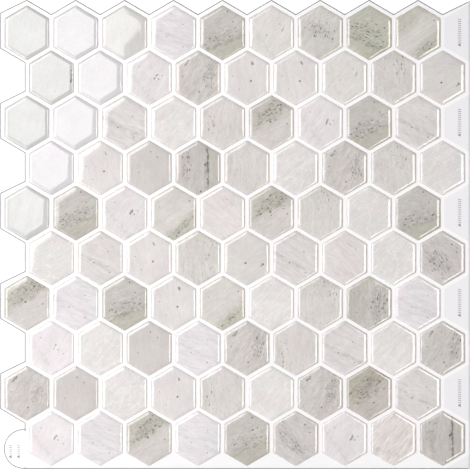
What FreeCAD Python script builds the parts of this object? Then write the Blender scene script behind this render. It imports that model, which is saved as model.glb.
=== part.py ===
# Peel and stick wall tile sheet: clear gel hexagons on a printed film, with its release liner.
# It lies face up: X runs along the rows, Y runs up the wall, Z comes out of the face. Millimetres.

import FreeCAD, Part
import math
import os
import Sketcher

from FreeCAD import Vector

NODE_FOLDER = "parts"
SHOULDER_STEPS = 3

document = FreeCAD.newDocument("WallTileSheet")

# Driving dimensions: alias, value, what it measures
DIMENSIONS = [
    ("tile_pitch", 31.76, "from one tile's centre to the next along a row"),
    ("row_pitch", 29.26, "from one row's centre line to the next"),
    ("tiles_per_row", 9, "tiles in each row"),
    ("row_pairs", 5, "pairs of rows, one flush left and one shifted half a pitch"),
    ("tile_width", 29.25, "across a tile's two upright sides"),
    ("tile_height", 36.0, "from a tile's top point to its bottom point before they are blunted"),
    ("tile_side", 18.8, "length of an upright side before its corners are blunted"),
    ("corner_cut", 0.7, "length taken off each side where a corner is blunted"),
    ("gel_height", 1.5, "height of the gel above the film"),
    ("wall_height", 0.5, "height of the gel's walls below the shoulder"),
    ("wall_inset", 0.1, "how far the walls lean in over their height"),
    ("shoulder_width", 2.8, "width of the rounded shoulder between the walls and the flat top"),
    ("film_thickness", 0.45, "printed film with its adhesive"),
    ("liner_thickness", 0.15, "release liner under the film"),
    ("left_margin", 2.6, "film beyond the first tile of a flush row"),
    ("right_margin", 3.0, "film beyond the last tile of a shifted row"),
    ("top_margin", 3.4, "film above the points of the top row"),
    ("bottom_margin", 1.8, "film below the points of the bottom row"),
    ("tongue_margin", 2.3, "film below the left flanks of a flush row"),
    ("end_slope", 0.488, "rise for each millimetre along the flatter end flanks"),
    ("print_border", 2.3, "white border printed round the tiles, up to where a blank cell starts"),
    ("tab_gap", 3.8, "from the last recess's upper corner to the peel tab"),
    ("tab_neck", 0.75, "straight stretch of the peel tab before its half round"),
    ("tab_root_radius", 0.9, "rounding where the peel tab leaves the liner"),
]

sizes = document.addObject("Spreadsheet::Sheet", "Dimensions")
for line, (alias, value, meaning) in enumerate(DIMENSIONS, start=1):
    sizes.set(f"A{line}", meaning)
    sizes.set(f"B{line}", str(value))
    sizes.setAlias(f"B{line}", alias)
document.recompute()


def size(alias):
    """The expression that reads one cell."""
    return f"Dimensions.{alias}"


# Places worked out from the driving dimensions, measured from the film's left and bottom edges
HALF_PITCH = f"({size('tile_pitch')} / 2)"
HALF_WIDTH = f"({size('tile_width')} / 2)"
HALF_HEIGHT = f"({size('tile_height')} / 2)"
SLOPE = f"(({size('tile_height')} - {size('tile_side')}) / {size('tile_width')})"
FLANK_STRETCH = f"sqrt(1 + {SLOPE} * {SLOPE})"
ROW_COUNT = f"({size('row_pairs')} * 2)"
FIRST_X = f"({size('left_margin')} + {HALF_WIDTH})"
LAST_X = f"({FIRST_X} + {size('tile_pitch')} * ({size('tiles_per_row')} - 1))"
LOWEST_Y = f"({size('bottom_margin')} + {HALF_HEIGHT})"
TOP_Y = f"({LOWEST_Y} + {size('row_pitch')} * ({ROW_COUNT} - 1))"
SHEET_WIDTH = f"({LAST_X} + {HALF_PITCH} + {HALF_WIDTH} + {size('right_margin')})"
SHEET_HEIGHT = f"({TOP_Y} + {HALF_HEIGHT} + {size('top_margin')})"
VALLEY_Y = f"({SHEET_HEIGHT} - {HALF_PITCH} * {SLOPE})"
RECESS_X = HALF_PITCH
SHEET_THICKNESS = f"({size('liner_thickness')} + {size('film_thickness')})"


def value_of(expression):
    """The number that an expression of cells gives now."""
    return float(sizes.evalExpression(expression))


def origin_plane(body):
    """The body's own XY plane."""
    return next(part for part in body.Origin.OriginFeatures if part.Role == "XY_Plane")


def new_body(name):
    """A body named for its piece, which may hold several separate solids."""
    body = document.addObject("PartDesign::Body", name)
    body.Label = name
    body.AllowCompound = True
    return body


def pin_point(sketch, curve, end, name, place):
    """Hold one end of a sketch curve at a pair of expressions, measured from the origin."""
    for axis, kind, expression in zip("xy", ("DistanceX", "DistanceY"), place):
        constraint = Sketcher.Constraint(kind, -1, 1, curve, end, value_of(expression))
        sketch.renameConstraint(sketch.addConstraint(constraint), f"{name}_{axis}")
        sketch.setExpression(f"Constraints.{name}_{axis}", expression)


def new_sketch(body, name):
    """An empty sketch on the body's XY plane."""
    sketch = body.newObject("Sketcher::SketchObject", name)
    sketch.AttachmentSupport = (origin_plane(body), [""])
    sketch.MapMode = "FlatFace"
    return sketch


def polygon_sketch(body, name, places):
    """A closed outline of straight lines through pairs of expressions."""
    sketch = new_sketch(body, name)
    corners = [Vector(value_of(x), value_of(y), 0) for x, y in places]
    for start, end in zip(corners, corners[1:] + corners[:1]):
        sketch.addGeometry(Part.LineSegment(start, end), False)
    for number, place in enumerate(places):
        following = (number + 1) % len(places)
        sketch.addConstraint(Sketcher.Constraint("Coincident", number, 2, following, 1))
        pin_point(sketch, number, 1, f"corner_{number + 1}", place)
    return sketch


def pad(body, name, sketch, height, merge_faces=True):
    """Raise a sketch by an expression."""
    document.recompute()
    feature = body.newObject("PartDesign::Pad", name)
    feature.Profile = sketch
    feature.Refine = merge_faces
    feature.setExpression("Length", height)
    body.Tip = feature
    document.recompute()
    return feature


def pocket(body, name, sketch):
    """Cut a sketch right through the body, upwards from its underside."""
    document.recompute()
    before = body.Shape.Volume
    feature = body.newObject("PartDesign::Pocket", name)
    feature.Profile = sketch
    feature.Type = "ThroughAll"
    feature.Reversed = True
    body.Tip = feature
    document.recompute()
    if feature.Shape.Volume >= before:
        raise RuntimeError(f"{name} cuts nothing")
    return feature


def linear_pattern(
    body, name, features, axis, spacing, copies, backwards=False, merge_faces=True
):
    """Repeat features, or with none named the whole body, along a sketch's axis."""
    feature = body.newObject("PartDesign::LinearPattern", name)
    sketch = next(part for part in body.Group if part.isDerivedFrom("Sketcher::SketchObject"))
    feature.Originals = features
    feature.TransformMode = "Features" if features else "Whole shape"
    feature.Direction = (sketch, [axis])
    feature.Refine = merge_faces
    feature.Reversed = backwards
    feature.Mode = "Spacing"
    feature.setExpression("Offset", spacing)
    feature.setExpression("Occurrences", copies)
    body.Tip = feature
    document.recompute()
    return feature


def upright_edges(feature, wanted):
    """Names of the edges that leave the base, all of them or those near one point."""
    names = []
    for number, edge in enumerate(feature.Shape.Edges, start=1):
        low, high = sorted((vertex.Point for vertex in edge.Vertexes[:2]), key=lambda p: p.z)
        if high.z - low.z < edge.Length / 2:
            continue
        if wanted is None or (Vector(low.x, low.y, 0) - wanted).Length < 0.01:
            names.append(f"Edge{number}")
    return names


def fillet(body, name, base, edges, radius):
    """Round the named edges of a feature."""
    feature = body.newObject("PartDesign::Fillet", name)
    feature.Base = (base, edges)
    feature.setExpression("Radius", radius)
    body.Tip = feature
    document.recompute()
    return feature


def row_line(row):
    """Height of a row's centre line, with row 1 at the top."""
    return f"({TOP_Y} - {size('row_pitch')} * ({row} - 1))"


def below_flank(row, across):
    """Height of the film's edge below the left flank of a flush row's first tile."""
    lowest = f"({row_line(row)} - {HALF_HEIGHT} - {size('tongue_margin')})"
    return f"({lowest} + ({FIRST_X} - {across}) * {SLOPE})"


def above_flank(row, across):
    """Height of the film's edge above the left flank of a flush row's first tile."""
    highest = f"({row_line(row)} + {HALF_HEIGHT} + {size('top_margin')})"
    return f"({highest} - ({FIRST_X} - {across}) * {size('end_slope')})"


def zigzag_sheet(name, thickness):
    """The outline that film and liner share: zigzag top, stepped left edge, straight right and bottom."""
    body = new_body(name)
    blank = polygon_sketch(
        body,
        f"{name}_blank",
        [("0", "0"), (SHEET_WIDTH, "0"), (SHEET_WIDTH, SHEET_HEIGHT), ("0", SHEET_HEIGHT)],
    )
    pad(body, f"{name}_plate", blank, thickness)

    # V notches between the points of the top row
    first_valley = f"({FIRST_X} + {HALF_PITCH})"
    notch = polygon_sketch(
        body,
        f"{name}_notch",
        [
            (FIRST_X, SHEET_HEIGHT),
            (first_valley, VALLEY_Y),
            (f"({FIRST_X} + {size('tile_pitch')})", SHEET_HEIGHT),
        ],
    )
    cut = pocket(body, f"{name}_notch_cut", notch)
    notch_count = f"{size('tiles_per_row')} - 1"
    linear_pattern(body, f"{name}_notches", [cut], "H_Axis", size("tile_pitch"), notch_count)

    # The two ends of the zigzag fall away more gently than the rest
    left_corner = above_flank("1", "0")
    left_end = polygon_sketch(
        body, f"{name}_left_end", [("0", left_corner), (FIRST_X, SHEET_HEIGHT), ("0", SHEET_HEIGHT)]
    )
    pocket(body, f"{name}_left_end_cut", left_end)
    last_valley = f"({LAST_X} + {HALF_PITCH})"
    right_corner = f"({VALLEY_Y} + ({SHEET_WIDTH} - {last_valley}) * {size('end_slope')})"
    right_end = polygon_sketch(
        body,
        f"{name}_right_end",
        [
            (LAST_X, SHEET_HEIGHT),
            (last_valley, VALLEY_Y),
            (SHEET_WIDTH, right_corner),
            (SHEET_WIDTH, SHEET_HEIGHT),
        ],
    )
    pocket(body, f"{name}_right_end_cut", right_end)

    # Recesses at the left ends of the shifted rows, with the tongues of the flush rows between them
    recess = polygon_sketch(
        body,
        f"{name}_recess",
        [
            ("0", below_flank("1", "0")),
            ("0", above_flank("3", "0")),
            (RECESS_X, above_flank("3", RECESS_X)),
            (RECESS_X, below_flank("1", RECESS_X)),
        ],
    )
    cut = pocket(body, f"{name}_recess_cut", recess)
    recess_count = f"{size('row_pairs')} - 1"
    two_rows = f"{size('row_pitch')} * 2"
    linear_pattern(body, f"{name}_recesses", [cut], "V_Axis", two_rows, recess_count, backwards=True)
    return body


def build_sheet(name, thickness, lift, has_tab):
    """One of the two thin sheets, with or without the peel tab in its last recess."""
    body = zigzag_sheet(name, thickness)
    last_flush = f"({ROW_COUNT} - 1)"
    corner_y = below_flank(last_flush, RECESS_X)
    last_recess = polygon_sketch(
        body,
        f"{name}_last_recess",
        [
            ("0", "0"),
            (RECESS_X, "0"),
            (RECESS_X, corner_y),
            ("0", below_flank(last_flush, "0")),
        ],
    )
    pocket(body, f"{name}_last_recess_cut", last_recess)
    if has_tab:
        add_tab(body, name, thickness, f"({corner_y} - {size('tab_gap')})")
    else:
        add_blank_cells(body, name, thickness)
    place_body(body, "0", "0", lift)
    return body


def add_tab(body, name, thickness, tab_top):
    """A half-round tab that fills the foot of the last recess, rounded where it leaves the edge."""
    radius = f"({tab_top} / 2)"
    neck_x = f"({RECESS_X} - {size('tab_neck')})"
    sketch = new_sketch(body, f"{name}_tab_outline")
    centre = Vector(value_of(neck_x), value_of(radius), 0)
    top = Vector(centre.x, value_of(tab_top), 0)
    bottom = Vector(centre.x, 0, 0)
    far = Vector(centre.x - value_of(radius), centre.y, 0)
    inside_top = Vector(value_of(RECESS_X), top.y, 0)
    inside_bottom = Vector(value_of(RECESS_X), 0, 0)
    sketch.addGeometry(Part.LineSegment(bottom, inside_bottom), False)
    sketch.addGeometry(Part.LineSegment(inside_bottom, inside_top), False)
    sketch.addGeometry(Part.LineSegment(inside_top, top), False)
    sketch.addGeometry(Part.Arc(top, far, bottom), False)
    pin_point(sketch, 0, 1, "bottom", (neck_x, "0"))
    pin_point(sketch, 0, 2, "inside_bottom", (RECESS_X, "0"))
    pin_point(sketch, 2, 1, "inside_top", (RECESS_X, tab_top))
    pin_point(sketch, 2, 2, "top", (neck_x, tab_top))
    sketch.addConstraint(Sketcher.Constraint("Coincident", 0, 2, 1, 1))
    sketch.addConstraint(Sketcher.Constraint("Coincident", 1, 2, 2, 1))
    sketch.addConstraint(Sketcher.Constraint("Coincident", 2, 2, 3, 1))
    sketch.addConstraint(Sketcher.Constraint("Coincident", 3, 2, 0, 1))
    sketch.addConstraint(Sketcher.Constraint("Vertical", 3, 3, 2, 2))
    document.recompute()
    tab = pad(body, f"{name}_tab", sketch, thickness)
    root = Vector(value_of(RECESS_X), value_of(tab_top), 0)
    fillet(body, f"{name}_tab_root", tab, upright_edges(tab, root), size("tab_root_radius"))


def add_blank_cells(body, name, thickness):
    """Bound the blank half cells of the overlap strip, which the next sheet covers."""
    near_x = f"({LAST_X} + {HALF_WIDTH} + {size('print_border')})"
    next_tile_x = f"({LAST_X} + {HALF_PITCH})"
    reach = f"({size('row_pitch')} - {HALF_HEIGHT} - {size('print_border')} * {FLANK_STRETCH})"
    near = f"({reach} + ({near_x} - {next_tile_x}) * {SLOPE})"
    far = f"({reach} + ({SHEET_WIDTH} - {next_tile_x}) * {SLOPE})"
    line = row_line("1")
    cell = polygon_sketch(
        body,
        f"{name}_blank_cell",
        [
            (near_x, f"{line} - {near}"),
            (SHEET_WIDTH, f"{line} - {far}"),
            (SHEET_WIDTH, f"{line} + {far}"),
            (near_x, f"{line} + {near}"),
        ],
    )
    first = pad(body, f"{name}_first_blank_cell", cell, thickness, merge_faces=False)
    linear_pattern(
        body,
        f"{name}_blank_cells",
        [first],
        "V_Axis",
        f"{size('row_pitch')} * 2",
        size("row_pairs"),
        backwards=True,
        merge_faces=False,
    )


def place_body(body, across, up, lift):
    """Stand a body, drawn from the film's lower left corner, round the sheet's middle."""
    body.setExpression("Placement.Base.x", f"{across} - {SHEET_WIDTH} / 2")
    body.setExpression("Placement.Base.y", f"{up} - {SHEET_HEIGHT} / 2")
    body.setExpression("Placement.Base.z", lift)
    document.recompute()


def blunted_hexagon(inset):
    """Corners of a tile's outline moved in by an expression, with each of the six corners cut off."""
    half_width = f"({HALF_WIDTH} - {inset})"
    point = f"({HALF_HEIGHT} - {inset} * {FLANK_STRETCH})"
    half_side = f"({point} - {half_width} * {SLOPE})"
    along = f"({size('corner_cut')} / {FLANK_STRETCH})"
    rise = f"({along} * {SLOPE})"
    quarter = [
        (half_width, f"({half_side} - {size('corner_cut')})"),
        (f"({half_width} - {along})", f"({half_side} + {rise})"),
        (along, f"({point} - {rise})"),
    ]
    right = [(x, f"-{y}") for x, y in reversed(quarter)] + quarter
    left = [(f"-{x}", f"-{y}") for x, y in right]
    return right + left


def gel_sections():
    """Height and inset of each section of a tile, from its foot over the rounded shoulder to its top."""
    shoulder_rise = f"({size('gel_height')} - {size('wall_height')})"
    sections = [("0", "0"), (size("wall_height"), size("wall_inset"))]
    for step in range(1, SHOULDER_STEPS + 1):
        turn = math.radians(90 * step / SHOULDER_STEPS)
        height = f"({size('wall_height')} + {shoulder_rise} * {math.sin(turn):.6f})"
        inset = f"({size('wall_inset')} + {size('shoulder_width')} * {1 - math.cos(turn):.6f})"
        sections.append((height, inset))
    return sections


def build_tile_row(row):
    """One row of separate gel tiles, each a six-sided dome with leaning walls and a soft shoulder."""
    name = f"tile_row_{row:02d}"
    body = new_body(name)
    sketches = []
    for number, (height, inset) in enumerate(gel_sections(), start=1):
        sketch = polygon_sketch(body, f"{name}_section_{number}", blunted_hexagon(inset))
        sketch.setExpression("AttachmentOffset.Base.z", height)
        sketches.append(sketch)
    document.recompute()
    dome = body.newObject("PartDesign::AdditiveLoft", f"{name}_dome")
    dome.Profile = sketches[0]
    dome.Sections = sketches[1:]
    dome.Ruled = True
    body.Tip = dome
    document.recompute()
    linear_pattern(body, f"{name}_tiles", [], "H_Axis", size("tile_pitch"), size("tiles_per_row"))
    shift = HALF_PITCH if row % 2 == 0 else "0"
    place_body(body, f"{FIRST_X} + {shift}", row_line(row), SHEET_THICKNESS)
    return body


def checked(bodies):
    """Stop if any feature failed or any piece is empty or broken."""
    for item in document.Objects:
        if "Invalid" in item.State or "Error" in item.State:
            raise RuntimeError(f"{item.Name} failed: {item.State}")
    for body in bodies:
        if body.Shape.isNull() or not body.Shape.isValid():
            raise RuntimeError(f"{body.Label} has no valid shape")
    return bodies


pieces = [
    build_sheet("release_liner", size("liner_thickness"), "0", True),
    build_sheet("vinyl_film", size("film_thickness"), size("liner_thickness"), False),
]
for row_number in range(1, int(value_of(ROW_COUNT)) + 1):
    pieces.append(build_tile_row(row_number))
document.recompute()

os.makedirs(NODE_FOLDER, exist_ok=True)
for piece in checked(pieces):
    piece.Shape.exportStep(f"{NODE_FOLDER}/{piece.Label}.step")
    box = piece.Shape.BoundBox
    print(f"{piece.Label}: {len(piece.Shape.Solids)} solids in {box.XLength:.2f} x {box.YLength:.2f} mm")
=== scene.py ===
# %% [markdown]
# # A peel and stick wall tile sheet
# The real thing is a white plastic film about 30 cm square. A stone pattern is printed on it, and over
# each printed hexagon sits a drop of clear gel that has set hard: flat and glossy on top, rounded at the
# rim. The film's back is sticky, and a paper liner covers it until the sheet goes on the wall. This lesson
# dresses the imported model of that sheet. It builds the gel tiles, the printed stone, the cut edges and the
# small printed marks, and lights them like a catalogue picture.

# %% Load the frame
import math
import random
from functools import partialmethod, reduce

import bmesh
import bpy
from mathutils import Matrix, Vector


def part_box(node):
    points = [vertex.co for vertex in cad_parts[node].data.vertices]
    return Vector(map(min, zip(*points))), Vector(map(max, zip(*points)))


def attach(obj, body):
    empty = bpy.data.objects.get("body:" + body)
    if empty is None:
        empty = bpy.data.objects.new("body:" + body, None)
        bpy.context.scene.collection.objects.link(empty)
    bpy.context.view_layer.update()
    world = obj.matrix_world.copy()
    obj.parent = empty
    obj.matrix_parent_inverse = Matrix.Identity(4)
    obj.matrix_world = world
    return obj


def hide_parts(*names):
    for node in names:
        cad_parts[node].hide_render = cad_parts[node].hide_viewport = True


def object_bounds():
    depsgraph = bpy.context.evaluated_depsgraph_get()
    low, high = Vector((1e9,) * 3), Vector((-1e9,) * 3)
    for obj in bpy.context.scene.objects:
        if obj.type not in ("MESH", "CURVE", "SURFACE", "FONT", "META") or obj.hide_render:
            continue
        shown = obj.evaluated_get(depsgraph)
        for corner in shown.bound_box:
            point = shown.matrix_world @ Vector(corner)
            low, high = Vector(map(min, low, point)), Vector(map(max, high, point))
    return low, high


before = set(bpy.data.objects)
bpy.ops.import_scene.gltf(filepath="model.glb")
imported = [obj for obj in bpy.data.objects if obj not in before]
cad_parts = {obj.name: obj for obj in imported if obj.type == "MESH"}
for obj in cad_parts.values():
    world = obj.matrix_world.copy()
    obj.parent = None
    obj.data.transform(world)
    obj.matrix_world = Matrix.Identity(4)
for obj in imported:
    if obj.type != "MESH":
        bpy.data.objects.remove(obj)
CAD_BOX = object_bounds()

MM = 0.001
print("The packed sheet measures", [round(side / MM, 2) for side in CAD_BOX[1] - CAD_BOX[0]], "mm")

# %% [markdown]
# ## Reading the rows from the frame
# Each row of tiles is one node, so its box says where the row lies. Only the tile's own shape is written
# down here. The step from one tile to the next follows from the box, so nothing has to be fitted later.

# %% Where the tiles lie
ROW_NODES = sorted(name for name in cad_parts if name.startswith("tile_row_"))
TILES_PER_ROW = 9
TILE_WIDTH = 29.25 * MM
TILE_HEIGHT = 36.0 * MM
TILE_SIDE = 18.8 * MM
GEL_HEIGHT = 1.5 * MM


def row_centres(node):
    """Middle of each tile of one row, on the film."""
    low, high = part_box(node)
    step = (high.x - low.x - TILE_WIDTH) / (TILES_PER_ROW - 1)
    first_x = low.x + TILE_WIDTH / 2
    return [Vector((first_x + step * number, (low.y + high.y) / 2, low.z)) for number in range(TILES_PER_ROW)]


FILM_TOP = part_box("vinyl_film")[1].z
FLUSH_ROW, SHIFTED_ROW = row_centres(ROW_NODES[0]), row_centres(ROW_NODES[1])
ROW_PITCH = FLUSH_ROW[0].y - SHIFTED_ROW[0].y
TILE_PITCH = FLUSH_ROW[1].x - FLUSH_ROW[0].x
print(len(ROW_NODES), "rows, tile pitch", round(TILE_PITCH / MM, 2), "row pitch", round(ROW_PITCH / MM, 2))

# %% [markdown]
# ## Colours, nodes and objects
# A colour picked from a swatch is written as an sRGB hex value, and Blender computes in linear light, so one
# function turns one into the other. Another adds a node, sets it and links its inputs, and is used for every
# node below. Each piece is put in the scene at the origin, with its place in its mesh.

# %% First helpers
def linear(hex_value):
    """Linear colour, with alpha, of an sRGB hex value."""
    channels = [int(hex_value[place : place + 2], 16) / 255 for place in (1, 3, 5)]
    return tuple(c / 12.92 if c <= 0.04045 else ((c + 0.055) / 1.055) ** 2.4 for c in channels) + (1.0,)


def fill(node, inputs):
    """Set or link a node's inputs, given by name or number."""
    for place, value in dict(inputs).items():
        value = getattr(value, "socket", value)
        if isinstance(value, bpy.types.NodeSocket):
            node.id_data.links.new(value, node.inputs[place])
        else:
            node.inputs[place].default_value = value


def add_node(tree, kind, inputs=(), **settings):
    """Add a node, set its properties, then fill its inputs."""
    node = tree.nodes.new(kind)
    for name, value in settings.items():
        setattr(node, name, value)
    fill(node, inputs)
    return node


def put_in_scene(name, data):
    """A new object of a mesh, a lamp or a camera."""
    thing = bpy.data.objects.new(name, data)
    bpy.context.scene.collection.objects.link(thing)
    return thing


FILM_WHITE = "#F3F1F3"
print("White film in linear light:", [round(c, 3) for c in linear(FILM_WHITE)[:3]])

# %% [markdown]
# ## One gel tile
# Liquid gel is poured into the printed hexagon and pulls itself into a drop: steep walls, a soft shoulder
# under 3 mm wide and a flat top. A bevel modifier could round a block, but the shoulder of a drop flattens
# out slowly, nearly like a quarter of an ellipse. So the tile is made of rings. Each ring is the hexagon
# moved inwards by an inset, with its six corners rounded, and stands at the height that the profile gives.

# %% The tile's rings
WALL_HEIGHT = 0.42 * MM
WALL_LEAN = 0.12 * MM
SHOULDER_WIDTH = 2.6 * MM
SHOULDER_CURVE = 1.75  # 2 is a quarter of an ellipse, less lets the shoulder start further in
CORNER_RADIUS = 1.15 * MM
SMALL_RADIUS = 0.6 * MM  # corners of the innermost rings, which the full radius doesn't fit
SMALL_INSET = 11.5 * MM
CROWN = 0.02 * MM
SHOULDER_RINGS = 12
TOP_RINGS = 8
TOP_SHARE = 0.98  # keeps the innermost ring from closing to a point
CORNER_POINTS = 5
SIDE_POINTS = 4
FLANK_SLOPE = (TILE_HEIGHT - TILE_SIDE) / TILE_WIDTH
FLANK_STRETCH = math.hypot(1, FLANK_SLOPE)


def hexagon_ring(inset, radius):
    """Points once round the hexagon moved in by inset, with corners rounded to radius."""
    inner = inset + radius
    half_width = TILE_WIDTH / 2 - inner
    point = TILE_HEIGHT / 2 - inner * FLANK_STRETCH
    side_end = point - half_width * FLANK_SLOPE
    flank = math.atan2(1, FLANK_SLOPE)
    upper = [
        ((half_width, side_end), 0, flank),
        ((0, point), flank, math.pi - flank),
        ((-half_width, side_end), math.pi - flank, math.pi),
    ]
    lower = [((-x, -y), start + math.pi, end + math.pi) for (x, y), start, end in upper]
    arcs = []
    for (x, y), start, end in upper + lower:
        turns = [start + (end - start) * step / (CORNER_POINTS - 1) for step in range(CORNER_POINTS)]
        arcs.append([Vector((x + radius * math.cos(t), y + radius * math.sin(t))) for t in turns])
    ring = []
    for arc, following in zip(arcs, arcs[1:] + arcs[:1]):
        ring += arc
        ring += [arc[-1].lerp(following[0], step / SIDE_POINTS) for step in range(1, SIDE_POINTS)]
    return ring


def gel_profile():
    """Pairs of inset and height from the foot of the wall, over the shoulder, to the middle."""
    rise = GEL_HEIGHT - WALL_HEIGHT - CROWN
    profile = [(0.0, 0.0), (WALL_LEAN * 0.5, WALL_HEIGHT * 0.6)]
    for step in range(SHOULDER_RINGS + 1):
        from_top = math.cos(math.pi / 2 * step / SHOULDER_RINGS)
        height = (1 - from_top**SHOULDER_CURVE) ** (1 / SHOULDER_CURVE)
        profile.append((WALL_LEAN + SHOULDER_WIDTH * (1 - from_top), WALL_HEIGHT + rise * height))
    edge = profile[-1][0]
    for step in range(1, TOP_RINGS):
        share = step / TOP_RINGS
        inset = edge + (TILE_WIDTH / 2 - edge) * share * TOP_SHARE
        profile.append((inset, GEL_HEIGHT - CROWN * (1 - share) ** 2))
    return profile


def make_gel_dome():
    """The tile as a closed mesh with its depth inside the rim as an attribute, in millimetres."""
    profile = gel_profile()
    rings = []
    for inset, height in profile:
        radius = CORNER_RADIUS if inset < SMALL_INSET else SMALL_RADIUS
        rings.append([Vector((p.x, p.y, height)) for p in hexagon_ring(inset, radius)])
    count = len(rings[0])
    vertices = [point for ring in rings for point in ring] + [Vector((0, 0, GEL_HEIGHT))]
    faces = [tuple(reversed(range(count)))]
    for near in range(0, count * (len(rings) - 1), count):
        far = near + count
        for place in range(count):
            after = (place + 1) % count
            faces.append((near + place, near + after, far + after, far + place))
    last = (len(rings) - 1) * count
    faces += [(last + place, last + (place + 1) % count, len(vertices) - 1) for place in range(count)]
    mesh = bpy.data.meshes.new("gel_dome")
    mesh.from_pydata(vertices, [], faces)
    depth = mesh.attributes.new("rim_depth", "FLOAT", "POINT")
    depths = [inset / MM for inset, _ in profile for _ in range(count)] + [TILE_WIDTH / 2 / MM]
    depth.data.foreach_set("value", depths)
    return bpy.data.objects.new("gel_dome", mesh)


gel_dome = make_gel_dome()
print("One gel tile has", len(gel_dome.data.vertices), "points and", len(gel_dome.data.polygons), "faces")

# %% [markdown]
# ## The stone print
# The film is printed with a pale travertine: soft streaks, small pores, and here and there a mossy seam,
# a crack or a single dark hole. A printer repeats a small set of pictures. So the set is written down once,
# by name, and a plan of the sheet says which picture lies where. Lengths are millimetres from the tile's
# middle, x to the right and y up, and angles are degrees counted anticlockwise from the right.

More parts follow.
